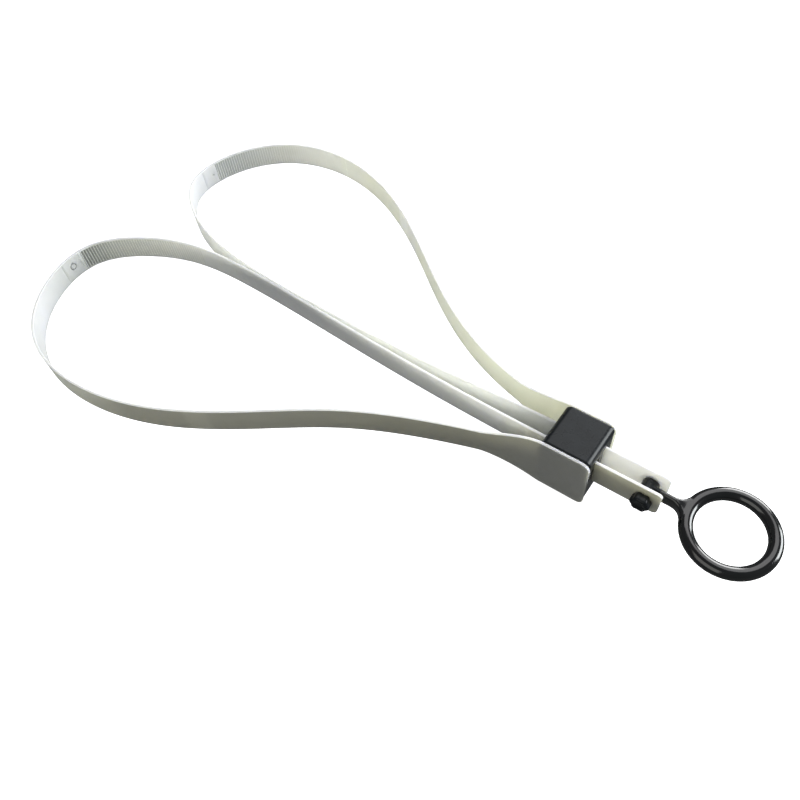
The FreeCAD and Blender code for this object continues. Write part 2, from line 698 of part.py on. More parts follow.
for item in doc.Objects:
    if "Invalid" in item.State or "Error" in item.State:
        raise RuntimeError(f"{item.Name} failed: {item.State}")
os.makedirs("parts", exist_ok=True)
for item in sub_parts:
    shape = item.Shape
    if shape.isNull() or not shape.isValid() or len(shape.Solids) != 1:
        raise RuntimeError(f"{item.Label} is not one valid solid")
    shape.exportStep(f"parts/{item.Label}.step")
    print(f"{item.Label}: {shape.Volume:.1f} mm3")
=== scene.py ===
"""Looks of the double-loop strap restraint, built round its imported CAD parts.

The row frame: X along the object towards the pull ring, Y across it, Z up, metres.  The near
strap is the one on the -Y side, the far strap the one on the +Y side.
"""
import bmesh
import bpy
import json
import math
import numpy as np
from mathutils import Matrix, Vector


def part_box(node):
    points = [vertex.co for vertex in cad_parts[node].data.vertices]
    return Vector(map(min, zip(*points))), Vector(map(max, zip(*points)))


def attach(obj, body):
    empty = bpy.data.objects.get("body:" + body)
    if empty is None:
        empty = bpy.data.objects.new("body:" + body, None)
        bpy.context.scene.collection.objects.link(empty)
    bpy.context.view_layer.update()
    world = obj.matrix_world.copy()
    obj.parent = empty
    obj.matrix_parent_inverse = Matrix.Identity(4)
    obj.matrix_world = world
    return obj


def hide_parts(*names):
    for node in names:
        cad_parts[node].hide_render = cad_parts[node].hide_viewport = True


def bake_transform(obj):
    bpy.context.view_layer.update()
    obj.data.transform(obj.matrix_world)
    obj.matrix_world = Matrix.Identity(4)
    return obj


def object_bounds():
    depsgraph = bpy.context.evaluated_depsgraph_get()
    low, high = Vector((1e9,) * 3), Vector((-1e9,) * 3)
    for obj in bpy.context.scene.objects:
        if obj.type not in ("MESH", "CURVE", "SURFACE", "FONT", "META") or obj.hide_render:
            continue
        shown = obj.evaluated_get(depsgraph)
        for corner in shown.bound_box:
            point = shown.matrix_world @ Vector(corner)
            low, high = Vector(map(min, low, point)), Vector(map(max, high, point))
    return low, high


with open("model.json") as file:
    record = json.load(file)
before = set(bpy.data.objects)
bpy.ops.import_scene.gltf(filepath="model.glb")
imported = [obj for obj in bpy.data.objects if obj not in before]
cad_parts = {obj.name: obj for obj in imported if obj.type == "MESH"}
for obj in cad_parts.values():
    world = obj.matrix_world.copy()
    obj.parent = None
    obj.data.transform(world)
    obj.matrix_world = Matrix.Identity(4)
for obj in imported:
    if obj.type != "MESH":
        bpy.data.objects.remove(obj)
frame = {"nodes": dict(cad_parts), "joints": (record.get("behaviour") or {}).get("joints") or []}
cad_low, cad_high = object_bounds()

MM = 0.001
NEAR, FAR = -1, 1
SIDE_NAMES = {NEAR: "near", FAR: "far"}

# Middle line of each strap in plan, in mm: the outer leg, the free loop and the inner leg.  Most points
# are the rounded output of a curve fitted to the strap edges in the reference; seven were moved.
ROUTES = {
    NEAR: [(-30.0, -15.0), (-58.5, -25.0), (-90.0, -40.0), (-123.0, -62.5), (-157.0, -83.0),
           (-198.5, -94.5), (-239.5, -89.0), (-269.0, -63.0), (-275.5, -30.5), (-253.5, -9.0),
           (-225.5, 1.0), (-190.5, 3.1), (-140.5, 0.8), (-71.0, -3.0)],
    FAR: [(-30.5, 13.5), (-59.0, 22.5), (-89.5, 39.5), (-121.5, 63.5), (-154.5, 86.0),
          (-204.0, 103.5), (-240.5, 99.0), (-265.5, 76.0), (-269.0, 42.5), (-247.5, 22.0),
          (-220.0, 11.0), (-185.5, 5.2), (-136.0, 2.6), (-66.0, 2.1)],
}
SPLIT = 5                 # route point where the outer leg ends and the loop begins
TOOTH_PITCH = 1.5 * MM
TOOTH_DEPTH = 0.5 * MM    # of the teeth outside the block
TOOTH_LAND = 0.3          # share of the pitch that isn't cut
SAW_DEPTH = 0.35 * MM     # of the teeth the pawls bite
SAW_MARGIN = 0.27 * MM    # plain strip along each edge of those teeth
SAW_REACH = 9.0 * MM      # how far those run each way from the block's middle
TOOTH_MARGIN = 0.9 * MM   # plain strip along each edge of the other teeth
FADE_LENGTH = 90 * MM     # over which the teeth grow shallower
FADED_TEETH = 0.12        # share of their depth that is left then
EDGE_ROUND = 0.26 * MM
STATION_STEP = 2.2 * MM   # between cross-sections where the strap is plain
END_LENGTH = 3.2 * MM     # at each end of a piece, where the cross-sections stand closer
TOP_EDGE = range(8, 15)   # sides of the cross-section that form the strap's upper edge, which gets a painted highlight
CUT_FACE = range(4, 7)    # sides of the cross-section that form the cut face
SHADED_CUT = 0.1 * MM     # grooves deeper than this get a darker tone, painted shade
PARTING = 0.03 * MM       # between the rigid leg and the loop, so that light passes from one to the other
UV_PER_METRE = 10.0
STRAP_LENGTH = 0.67
TAB_TAPER = 25.0 * MM     # over which the wide tab narrows to the plain strap
TAB_CORNERS = (2.6 * MM, 3.8 * MM)     # lower and upper corner radius of the tab
TAIL_CORNERS = (2.2 * MM, 1.6 * MM)    # lower and upper corner radius of the running end
RING_RADIUS = 15.35 * MM
RING_SECTION = 2.65 * MM
RING_DROOP = 1.4          # degrees
RING_TWIST = 5.5          # degrees by which the moulded stem is twisted
TWIST_START = 4 * MM      # from the pin's axis
TWIST_LENGTH = 12 * MM
HUB_RADIUS = 3.3 * MM
HUB_WIDTH = 6.4 * MM
HUB_REACH = 4.5 * MM      # from the pin's axis, how far the moulding is as dull as the block
VOXEL = 0.3 * MM
TUBE_SIDES = 24
TUBE_SQUARENESS = 0.55    # 1 is an ellipse, less is nearer to a rectangle
HEAD_LOBES = 6
LOBE_DEPTH = 0.13
SHAFT_RADIUS = 1.6 * MM
FLOOR_HALF = 3.0
FLOOR_DROP = 0.2 * MM

block_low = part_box("lock_housing")[0]
anchor_low, anchor_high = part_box("near_strap_anchor")
tail_low, tail_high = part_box("near_strap_tail")
ring_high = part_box("pull_ring")[1]
strap_low, strap_high = tail_low.z, tail_high.z
strap_thick = tail_high.y - tail_low.y
strap_middle = (strap_low + strap_high) / 2
tail_y = -(tail_low.y + tail_high.y) / 2
tab_y = strap_thick / 2 - anchor_high.y
pivot = next(j for j in frame["joints"] if j["name"] == "ring_swing")["pos_m"]


# ---------------------------------------------------------------- mesh helpers

def mesh_object(name, vertices, faces, smooth_angle=40.0):
    """A new object with outward faces; edges sharper than smooth_angle stay sharp."""
    mesh = bpy.data.meshes.new(name)
    mesh.from_pydata([tuple(v) for v in vertices], [], faces)
    mesh.validate()
    mesh.update()
    bm = bmesh.new()
    bm.from_mesh(mesh)
    bmesh.ops.recalc_face_normals(bm, faces=bm.faces)
    bm.to_mesh(mesh)
    bm.free()
    soften(mesh, smooth_angle)
    made = bpy.data.objects.new(name, mesh)
    bpy.context.scene.collection.objects.link(made)
    return made


def soften(mesh, angle):
    """Smooth shading that keeps edges sharper than an angle in degrees."""
    mesh.polygons.foreach_set("use_smooth", [True] * len(mesh.polygons))
    mesh.set_sharp_from_angle(angle=math.radians(angle))


def apply_modifiers(thing):
    evaluated = thing.evaluated_get(bpy.context.evaluated_depsgraph_get())
    mesh = bpy.data.meshes.new_from_object(evaluated)
    thing.modifiers.clear()
    thing.data = mesh
    return thing


def lathe(name, profile, centre, segments=64):
    """A solid turned about Y from (radius, y) points, the first and last of them on the axis."""
    vertices, faces = [], []
    rings = profile[1:-1]
    for radius, y in rings:
        for i in range(segments):
            angle = 2 * math.pi * i / segments
            vertices.append((centre[0] + radius * math.cos(angle), y, centre[2] + radius * math.sin(angle)))
    for r in range(len(rings) - 1):
        for i in range(segments):
            j = (i + 1) % segments
            a, b = r * segments, (r + 1) * segments
            faces.append((a + i, a + j, b + j, b + i))
    for tip, first in ((profile[0], 0), (profile[-1], (len(rings) - 1) * segments)):
        vertices.append((centre[0], tip[1], centre[2]))
        faces += [(len(vertices) - 1, first + i, first + (i + 1) % segments) for i in range(segments)]
    return mesh_object(name, vertices, faces)


# ---------------------------------------------------------------- straps

def clamped_spline(points, start, end):
    """Cubic through points with unit end tangents, as a function of the chord length."""
    p = np.array(points, float)
    chord = np.r_[0, np.cumsum(np.linalg.norm(np.diff(p, axis=0), axis=1))]
    h = np.diff(chord)
    n = len(p)
    a = np.zeros((n, n))
    b = np.zeros((n, 2))
    a[0, 0] = a[-1, -1] = 1
    b[0], b[-1] = start, end
    for i in range(1, n - 1):
        a[i, i - 1:i + 2] = h[i], 2 * (h[i - 1] + h[i]), h[i - 1]
        b[i] = 3 * (h[i - 1] * (p[i + 1] - p[i]) / h[i] + h[i] * (p[i] - p[i - 1]) / h[i - 1])
    slope = np.linalg.solve(a, b)

    def at(u):
        i = min(max(int(np.searchsorted(chord, u, side="right")) - 1, 0), n - 2)
        t = (u - chord[i]) / h[i]
        return ((2 * t ** 3 - 3 * t ** 2 + 1) * p[i] + (t ** 3 - 2 * t ** 2 + t) * h[i] * slope[i]
                + (3 * t ** 2 - 2 * t ** 3) * p[i + 1] + (t ** 3 - t ** 2) * h[i] * slope[i + 1])

    return chord, at


class Route:
    """A strap's middle line by arc length, from the tab's front end to the front of the tail."""

    def __init__(self, side):
        back = block_low.x
        start = (back, side * tab_y)
        end = (back, side * tail_y)
        points = [start] + [(x * MM, y * MM) for x, y in ROUTES[side]] + [end]
        chord, at = clamped_spline(points, (-1, 0), (1, 0))
        samples = np.array([at(u) for u in np.linspace(0, chord[-1], 4000)])
        tab = [(anchor_high.x, side * tab_y)]
        tail = [(x, side * tail_y) for x in np.linspace(back, tail_high.x, 40)[1:]]
        line = np.vstack([tab, samples, tail])
        self.arc = np.r_[0, np.cumsum(np.linalg.norm(np.diff(line, axis=0), axis=1))]
        self.line = line
        split = at(chord[SPLIT + 1])
        self.split = self.arc[np.argmin(np.linalg.norm(line[:4001] - split, axis=1))]
        self.end = self.arc[-1]
        self.block = self.end - tail_high.x
        self.side = side

    def point(self, s):
        return np.array([np.interp(s, self.arc, self.line[:, i]) for i in (0, 1)])

    def normal(self, s):
        """Unit normal in plan that points into the strap's own loop."""
        step = 0.4 * MM
        low, high = max(s - step, 0), min(s + step, self.end)
        d = self.point(high) - self.point(low)
        d /= np.linalg.norm(d)
        return np.array([-d[1], d[0]]) * self.side


def face_cut(s, route, toothed, lines):
    """How deep the inner face is cut at an arc length: saw teeth in the block, fading teeth and lines."""
    if abs(s - route.block) < SAW_REACH:
        return SAW_DEPTH * (((s - route.block) / TOOTH_PITCH) % 1.0)
    for middle, width, depth in lines:
        if abs(s - middle) < width / 2:
            return depth
    for strong, weak in toothed:
        if min(strong, weak) <= s <= max(strong, weak):
            phase = (s / TOOTH_PITCH) % 1.0
            fade = max(FADED_TEETH, 1 - abs(s - strong) / FADE_LENGTH)
            return TOOTH_DEPTH * fade * (0.0 if phase < TOOTH_LAND else 1.0)
    return 0.0


def stations(first, last, route, toothed, lines):
    """Arc lengths of a strap's cross-sections: dense where its face has teeth or lines."""
    found = set(np.linspace(first, last, int((last - first) / STATION_STEP) + 1))
    saw_teeth = round(SAW_REACH / TOOTH_PITCH)
    for number in range(-saw_teeth, saw_teeth):
        for phase in (0.01, 0.99):
            found.add(route.block + (number + phase) * TOOTH_PITCH)
    for strong, weak in toothed:
        low, high = max(min(strong, weak), first), min(max(strong, weak), last)
        number = math.ceil(low / TOOTH_PITCH)
        while number * TOOTH_PITCH < high:
            for phase in (0.02, 0.28, 0.42, 0.88):
                s = (number + phase) * TOOTH_PITCH
                if first < s < last:
                    found.add(s)
            number += 1
    for middle, width, _ in lines:
        for share in (-0.8, -0.49, 0.49, 0.8):
            s = middle + share * width
            if first < s < last:
                found.add(s)
    for edge in (first, last):
        inward = 1 if edge == first else -1
        for share in (0.01, 0.04, 0.1, 0.18, 0.3, 0.45, 0.65, 0.9):
            found.add(edge + inward * share * END_LENGTH)
    return sorted(s for s in found if first <= s <= last)


def section(half, low, high, cut, margin):
    """Corners of a strap's cross-section as (across, up), anticlockwise.

    The face at +across is cut, apart from a margin along each edge.
    """
    corners = []
    r = EDGE_ROUND
    for centre_n, centre_z, turn in ((half - r, low + r, -90), (half - r, high - r, 0),
                                     (-half + r, high - r, 90), (-half + r, low + r, 180)):
        for step in range(4):
            angle = math.radians(turn + 30 * step)
            corners.append((centre_n + r * math.cos(angle), centre_z + r * math.sin(angle)))
    inset = margin * 1.25
    flank = [(half, low + margin), (half - cut, low + inset),
             (half - cut, high - inset), (half, high - margin)]
    return corners[:4] + flank + corners[4:]


def ring_mark(route, s, height, radius, vertices, faces, along):
    """A small raised ring on the strap's inner face, added to the strap's own mesh."""
    thin = 0.16 * MM
    around, across = 32, 8
    middle, normal = route.point(s), route.normal(s)
    tangent = np.array([normal[1], -normal[0]])
    base = len(vertices)
    for i in range(around):
        a = 2 * math.pi * i / around
        for j in range(across):
            b = 2 * math.pi * j / across
            reach = radius + thin * math.cos(b)
            out = strap_thick / 2 + thin * math.sin(b)
            xy = middle + tangent * reach * math.cos(a) + normal * out
            up = height + reach * math.sin(a)
            vertices.append((xy[0], xy[1], up))
            along.append((s, up + out))
    for i in range(around):
        for j in range(across):
            k, m = (i + 1) % around, (j + 1) % across
            corners = (i * across + j, k * across + j, k * across + m, i * across + m)
            faces.append(tuple(base + corner for corner in corners))


def strap_piece(name, route, first, last, span, toothed, lines=(), rings=()):
    """A length of strap that stands on edge; span(s) gives its lower and upper edge.

    Its materials are, in order, the nylon with its painted shade and light, the upper edge with a painted
    highlight, the face at the parting, which glows, and the grooves with painted shade.
    """
    vertices, faces, along = [], [], []
    places = stations(first, last, route, toothed, lines)
    half = strap_thick / 2
    for s in places:
        low, high = span(s)
        middle, normal = route.point(s), route.normal(s)
        margin = SAW_MARGIN if abs(s - route.block) < SAW_REACH else TOOTH_MARGIN
        ring = section(half, low, high, face_cut(s, route, toothed, lines), margin)
        for across, up in ring:
            xy = middle + normal * across
            vertices.append((xy[0], xy[1], up))
            along.append((s, up + across))
    count = len(ring)
    for k in range(len(places) - 1):
        for i in range(count):
            j = (i + 1) % count
            faces.append((k * count + i, k * count + j, (k + 1) * count + j, (k + 1) * count + i))
    faces.append(tuple(range(count)))
    faces.append(tuple((len(places) - 1) * count + i for i in range(count)))
    for s, height, radius in rings:
        ring_mark(route, s, height, radius, vertices, faces, along)
    piece = mesh_object(name, vertices, faces)
    for finish in (nylons_painted_shade_and_light[route.side], edges[route.side], cuts[route.side], grooves[route.side]):
        piece.data.materials.append(finish)
    sides = (len(places) - 1) * count
    for number in range(sides):
        row, side = divmod(number, count)
        middle = (places[row] + places[row + 1]) / 2
        # The upper edge takes its own pale tone, a painted highlight.
        if side in TOP_EDGE:
            piece.data.polygons[number].material_index = 1
        # Grooves deeper than SHADED_CUT take the darker groove tone: painted shade.
        elif side in CUT_FACE and face_cut(middle, route, toothed, ()) > SHADED_CUT:
            piece.data.polygons[number].material_index = 3
    parting = sides if first >= route.split else sides + 1
    piece.data.polygons[parting].material_index = 2
    layer = piece.data.uv_layers.new(name="along")
    index = np.zeros(len(piece.data.loops), int)
    piece.data.loops.foreach_get("vertex_index", index)
    layer.data.foreach_set("uv", (np.array(along)[index] * UV_PER_METRE).ravel())
    return piece


def rounded_end(distance, radius):
    """How far an edge draws in at a distance from the end of a strap with rounded corners."""
    if distance >= radius:
        return 0.0
    return radius - math.sqrt(max(radius ** 2 - (radius - distance) ** 2, 0.0))


def smooth(t):
    """Eases from 0 to 1 as t does."""
    t = min(max(t, 0.0), 1.0)
    return t * t * (3 - 2 * t)


def anchor_span(route):
    """Lower and upper edge of the outer leg: the wide tab, its taper and the plain strap."""
    tab_low, tab_high = anchor_low.z, anchor_high.z
    tab_end = anchor_high.x - block_low.x - 1.0 * MM

    def span(s):
        t = (s - tab_end) / TAB_TAPER
        share = min(max(t, 0.0), 1.0)
        share = 0.6 * share + 0.4 * smooth(share)
        low = tab_low + (strap_low - tab_low) * share
        high = tab_high + (strap_high - tab_high) * share
        return low + rounded_end(s, TAB_CORNERS[0]), high - rounded_end(s, TAB_CORNERS[1])

    return span


def tail_span(route):
    """Lower and upper edge of the loop and the running end."""
    def span(s):
        left = route.end - s
        return strap_low + rounded_end(left, TAIL_CORNERS[0]), strap_high - rounded_end(left, TAIL_CORNERS[1])

    return span


def face_details(route):
    """Teeth, moulded lines and ring marks of a strap's inner face, by arc length."""
    split = route.split
    if route.side == NEAR:
        teeth = [(split + 110.8 * MM, route.block - SAW_REACH)]
        lines = [(split + 109.9 * MM, 0.9 * MM, -0.3 * MM), (split + 97.3 * MM, 0.5 * MM, 0.2 * MM)]
        rings = [(split + 104.0 * MM, strap_middle + 0.6 * MM, 1.7 * MM)]
    else:
        teeth = [(split + 88.5 * MM, split + 15 * MM), (route.block - SAW_REACH, split + 130 * MM)]
        lines = [(split + 99.2 * MM, 0.5 * MM, 0.2 * MM)]
        rings = [(split + 91.4 * MM, strap_middle, 0.45 * MM)]
    return teeth, lines, rings


def build_straps():
    """Two pieces a strap: the leg stays with the block, the loop is built in place."""
    for side in (NEAR, FAR):
        route = Route(side)
        teeth, lines, rings = face_details(route)
        name = SIDE_NAMES[side]
        outer = strap_piece(f"{name}_strap_leg", route, 0.0, route.split - PARTING, anchor_span(route), teeth)
        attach(outer, "lock_body")
        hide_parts(f"{name}_strap_anchor")
        loop = strap_piece(f"{name}_strap_loop", route, route.split, route.end, tail_span(route),
                           teeth, lines, rings)
        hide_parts(f"{name}_strap_bend", f"{name}_strap_tail")
        start = route.point(route.split)
        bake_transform(loop)


# ---------------------------------------------------------------- ring and pin

def torus(bm, centre, radius, section, around=128, across=32):
    """A ring that lies flat; section is the radius of its round cross-section."""
    rows = []
    for i in range(around):
        a = 2 * math.pi * i / around
        row = []
        for j in range(across):
            b = 2 * math.pi * j / across
            r = radius + section * math.cos(b)
            row.append(bm.verts.new((centre.x + r * math.cos(a), centre.y + r * math.sin(a),
                                     centre.z + section * math.sin(b))))
        rows.append(row)
    for i in range(around):
        for j in range(across):
            k, m = (i + 1) % around, (j + 1) % across
            bm.faces.new((rows[i][j], rows[k][j], rows[k][m], rows[i][m]))


def tube(bm, start, sections):
    """A closed prism through (x, half width in Y, half height in Z) sections with rounded corners."""
    rows = []
    for x, half_y, half_z in sections:
        row = []
        for i in range(TUBE_SIDES):
            a = 2 * math.pi * i / TUBE_SIDES
            y = math.copysign(abs(math.cos(a)) ** TUBE_SQUARENESS, math.cos(a)) * half_y
            z = math.copysign(abs(math.sin(a)) ** TUBE_SQUARENESS, math.sin(a)) * half_z
            row.append(bm.verts.new((start.x + x, start.y + y, start.z + z)))
        rows.append(row)
    for first, second in zip(rows, rows[1:]):
        for i in range(TUBE_SIDES):
            j = (i + 1) % TUBE_SIDES
            bm.faces.new((first[i], first[j], second[j], second[i]))
    bm.faces.new(rows[0])
    bm.faces.new(list(reversed(rows[-1])))


def stem_sections(reach, outer, last):
    """The stem from the hub, widening through a fillet on each side into the ring's outer circle."""
    half_width, half_height, web = 1.2 * MM, 3.1 * MM, 2.3 * MM
    flare = 9.0 * MM
    fillet = ((reach - flare) ** 2 + half_width ** 2 - outer ** 2) / (2 * (outer - half_width))
    touch = math.atan2(reach - flare, half_width + fillet)
    found = []
    for x in np.linspace(0, last, 40):
        sine = min(max(x - flare, 0.0) / fillet, math.sin(touch))
        width = half_width + fillet * (1 - math.sqrt(1 - sine ** 2))
        found.append((x, width, half_height + (web - half_height) * smooth((x - flare) / (last - flare))))
    return found


def build_ring():
    """Hub, stem and finger ring melted into one moulding, then twisted and drooped as it hangs."""
    pin = Vector(pivot)
    reach = ring_high.x - RING_RADIUS - RING_SECTION - pin.x
    bm = bmesh.new()
    torus(bm, Vector((reach, 0, 0)), RING_RADIUS, RING_SECTION)
    tube(bm, Vector((0, 0, 0)), stem_sections(reach, RING_RADIUS + RING_SECTION, reach - RING_RADIUS))
    turn = Matrix.Rotation(math.radians(90), 4, "X")
    bmesh.ops.create_cone(bm, cap_ends=True, segments=48, radius1=HUB_RADIUS, radius2=HUB_RADIUS,
                          depth=HUB_WIDTH, matrix=turn)
    mesh = bpy.data.meshes.new("pull_ring_moulding")
    bm.to_mesh(mesh)
    bm.free()
    ring = bpy.data.objects.new("pull_ring_moulding", mesh)
    bpy.context.scene.collection.objects.link(ring)
    remesh = ring.modifiers.new("remesh", "REMESH")
    remesh.mode = "VOXEL"
    remesh.voxel_size = VOXEL
    relax = ring.modifiers.new("relax", "SMOOTH")
    relax.factor = 0.5
    relax.iterations = 9
    apply_modifiers(ring)
    co = np.array([v.co for v in ring.data.vertices])
    share = np.clip((co[:, 0] - TWIST_START) / TWIST_LENGTH, 0, 1)
    twist = share * math.radians(RING_TWIST)
    y, z = co[:, 1].copy(), co[:, 2].copy()
    co[:, 1] = y * np.cos(twist) - z * np.sin(twist)
    co[:, 2] = y * np.sin(twist) + z * np.cos(twist)
    ring.data.vertices.foreach_set("co", co.ravel())
    ring.data.transform(Matrix.Translation(pin) @ Matrix.Rotation(math.radians(RING_DROOP), 4, "Y"))
    soften(ring.data, 60)
    for finish in (glossy_black, block_black):
        ring.data.materials.append(finish)
    for polygon in ring.data.polygons:
        polygon.material_index = 1 if polygon.center.x < pin.x + HUB_REACH else 0
    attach(ring, "finger_ring")
    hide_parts("pull_ring")


def build_pin_head():
    """The pin's lobed head with a shallow recess in its face, and the shaft behind it.

    The profile gives shares of the head's radius and places in Y, from its back to its face.
    """
    low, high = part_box("cross_pin")
    under = low.y + 3.6 * MM
    face = low.y - 0.3 * MM
    segments = 96
    profile = [(0.92, under), (1.05, under - 0.2 * MM), (1.12, under - 0.6 * MM), (1.12, face + 0.7 * MM),
               (1.07, face + 0.3 * MM), (0.97, face + 0.08 * MM), (0.8, face),
               (0.5, face + 0.12 * MM), (0.42, face + 0.35 * MM), (0.2, face + 0.4 * MM)]
    vertices, faces = [], []
    radius = (high.z - low.z) / 2
    for share, y in profile:
        for i in range(segments):
            a = 2 * math.pi * i / segments
            lobe = 1 - LOBE_DEPTH * (1 - math.cos(HEAD_LOBES * a)) / 2 * min(1, share * 1.2)
            r = radius * share * lobe
            vertices.append((pivot[0] + r * math.cos(a), y, pivot[2] + r * math.sin(a)))
    for k in range(len(profile) - 1):
        for i in range(segments):
            j = (i + 1) % segments
            faces.append((k * segments + i, k * segments + j, (k + 1) * segments + j, (k + 1) * segments + i))
    faces.append(tuple(range(segments)))
    faces.append(tuple((len(profile) - 1) * segments + i for i in range(segments)))
    head = mesh_object("cross_pin_head", vertices, faces, 50)
    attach(head, "pull_straps")
    shaft_end = high.y - 0.3 * MM
    shaft_start = under - 0.5 * MM
    shaft = lathe("cross_pin_shaft", [(0, shaft_start), (SHAFT_RADIUS, shaft_start),
                                      (SHAFT_RADIUS, shaft_end), (0, shaft_end)], pivot)
    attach(shaft, "pull_straps")
    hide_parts("cross_pin")
    return head, shaft


# ---------------------------------------------------------------- materials

def new_material(name):
    """A material with its nodes, its links and its shader."""
    material = bpy.data.materials.new(name)
    material.use_nodes = True
    nodes, links = material.node_tree.nodes, material.node_tree.links
    return material, nodes, links, nodes["Principled BSDF"]


def noise(nodes, links, coordinates, scale, detail=3.0):
    """A cloudy value between 0 and 1."""
    node = nodes.new("ShaderNodeTexNoise")
    node.inputs["Scale"].default_value = scale
    node.inputs["Detail"].default_value = detail
    links.new(coordinates, node.inputs["Vector"])
    return node.outputs["Fac"]


def ramp(nodes, links, value, low, high, first, second):
    """A colour that goes from first to second as the value goes from low to high."""
    node = nodes.new("ShaderNodeValToRGB")
    node.color_ramp.elements[0].position = low
    node.color_ramp.elements[1].position = high
    node.color_ramp.elements[0].color = (*first, 1)
    node.color_ramp.elements[1].color = (*second, 1)
    links.new(value, node.inputs["Fac"])
    return node.outputs["Color"]


def spread(nodes, links, value, low, high):
    """A value between 0 and 1 spread over low to high."""
    node = nodes.new("ShaderNodeMapRange")
    node.inputs["To Min"].default_value = low
    node.inputs["To Max"].default_value = high
    links.new(value, node.inputs["Value"])
    return node.outputs["Result"]


def bump(nodes, links, shader, height, distance, strength=1.0):
    node = nodes.new("ShaderNodeBump")
    node.inputs["Strength"].default_value = strength
    node.inputs["Distance"].default_value = distance
    links.new(height, node.inputs["Height"])
    links.new(node.outputs["Normal"], shader.inputs["Normal"])


def shaded(nodes, links, tone, share):
    """A tone multiplied by a slightly varying share."""
    node = nodes.new("ShaderNodeVectorMath")
    node.operation = "SCALE"
    links.new(tone, node.inputs[0])
    links.new(share, node.inputs["Scale"])
    return node.outputs["Vector"]


def nylon_material(name, tones):
    """Cloudy nylon; tones are (arc length, colour) pairs along the strap."""
    material, nodes, links, shader = new_material(name)
    uv = nodes.new("ShaderNodeUVMap")
    uv.uv_map = "along"
    place = uv.outputs["UV"]
    axes = nodes.new("ShaderNodeSeparateXYZ")
    links.new(place, axes.inputs["Vector"])
    share = nodes.new("ShaderNodeMapRange")
    share.inputs["From Max"].default_value = STRAP_LENGTH * UV_PER_METRE
    links.new(axes.outputs["X"], share.inputs["Value"])
    tone = nodes.new("ShaderNodeValToRGB")
    for number, (length, colour) in enumerate(tones):
        stops = tone.color_ramp.elements
        stop = stops[number] if number < 2 else stops.new(1.0)
        stop.position = length / STRAP_LENGTH
        stop.color = (*colour, 1)
    links.new(share.outputs["Result"], tone.inputs["Fac"])
    cloud = spread(nodes, links, noise(nodes, links, place, 9, 4), 0.93, 1.07)
    links.new(shaded(nodes, links, tone.outputs["Color"], cloud), shader.inputs["Base Color"])
    stretch = nodes.new("ShaderNodeMapping")
    stretch.inputs["Scale"].default_value = (0.12, 1, 1)
    links.new(place, stretch.inputs["Vector"])
    streak = noise(nodes, links, stretch.outputs["Vector"], 160, 3)
    links.new(spread(nodes, links, streak, 0.32, 0.5), shader.inputs["Roughness"])
    bump(nodes, links, shader, noise(nodes, links, place, 420, 2), 0.00004, 0.5)
    shader.inputs["Subsurface Weight"].default_value = 1.0
    shader.inputs["Subsurface Radius"].default_value = (1.0, 0.98, 0.85)
    shader.inputs["Subsurface Scale"].default_value = 0.005
    shader.inputs["IOR"].default_value = 1.5
    return material


def cut_material(name, glow):
    """The face where the leg and the loop part: it glows with the light the whole strap would carry."""
    material, nodes, links, shader = new_material(name)
    place = nodes.new("ShaderNodeTexCoord").outputs["Object"]
    cloud = noise(nodes, links, place, 200, 3)
    links.new(ramp(nodes, links, cloud, 0.3, 0.7, glow, [part * 1.05 for part in glow]),
              shader.inputs["Emission Color"])
    links.new(spread(nodes, links, cloud, 0.4, 0.5), shader.inputs["Roughness"])
    bump(nodes, links, shader, cloud, 0.00004, 0.5)
    shader.inputs["Base Color"].default_value = (*glow, 1)
    shader.inputs["Emission Strength"].default_value = 1.0
    return material


def black_material(name, dark, light, roughness, level):
    """Black moulding: dark and light are the ends of its faint cloudiness, level its specular level."""
    material, nodes, links, shader = new_material(name)
    place = nodes.new("ShaderNodeTexCoord").outputs["Object"]
    cloud = noise(nodes, links, place, 180, 4)
    links.new(ramp(nodes, links, cloud, 0.3, 0.7, dark, light), shader.inputs["Base Color"])
    fine = noise(nodes, links, place, 260, 3)
    links.new(spread(nodes, links, fine, *roughness), shader.inputs["Roughness"])
    bump(nodes, links, shader, noise(nodes, links, place, 500, 2), 0.00002, 0.25)
    shader.inputs["IOR"].default_value = 1.5
    shader.inputs["Specular IOR Level"].default_value = level
    return material


def pawl_material():
    material, nodes, links, shader = new_material("pawl_moulding")
    place = nodes.new("ShaderNodeTexCoord").outputs["Object"]
    cloud = noise(nodes, links, place, 400, 3)
    links.new(ramp(nodes, links, cloud, 0.3, 0.7, (0.05, 0.05, 0.055), (0.075, 0.075, 0.08)),
              shader.inputs["Base Color"])
    links.new(spread(nodes, links, cloud, 0.4, 0.6), shader.inputs["Roughness"])
    bump(nodes, links, shader, noise(nodes, links, place, 1600, 2), 0.00003, 0.4)
    return material


def steel_material():
    material, nodes, links, shader = new_material("drawn_steel")
    place = nodes.new("ShaderNodeTexCoord").outputs["Object"]
    stretch = nodes.new("ShaderNodeMapping")
    stretch.inputs["Scale"].default_value = (1, 1, 0.06)
    links.new(place, stretch.inputs["Vector"])
    streak = noise(nodes, links, stretch.outputs["Vector"], 2500, 4)
    links.new(ramp(nodes, links, streak, 0.3, 0.7, (0.42, 0.42, 0.44), (0.6, 0.6, 0.62)),
              shader.inputs["Base Color"])
    links.new(spread(nodes, links, streak, 0.22, 0.42), shader.inputs["Roughness"])
    bump(nodes, links, shader, streak, 0.00002, 0.4)
    shader.inputs["Metallic"].default_value = 1.0
    return material


def paint(thing, material):
    thing.data.materials.clear()
    thing.data.materials.append(material)


# ---------------------------------------------------------------- stage, camera and lights

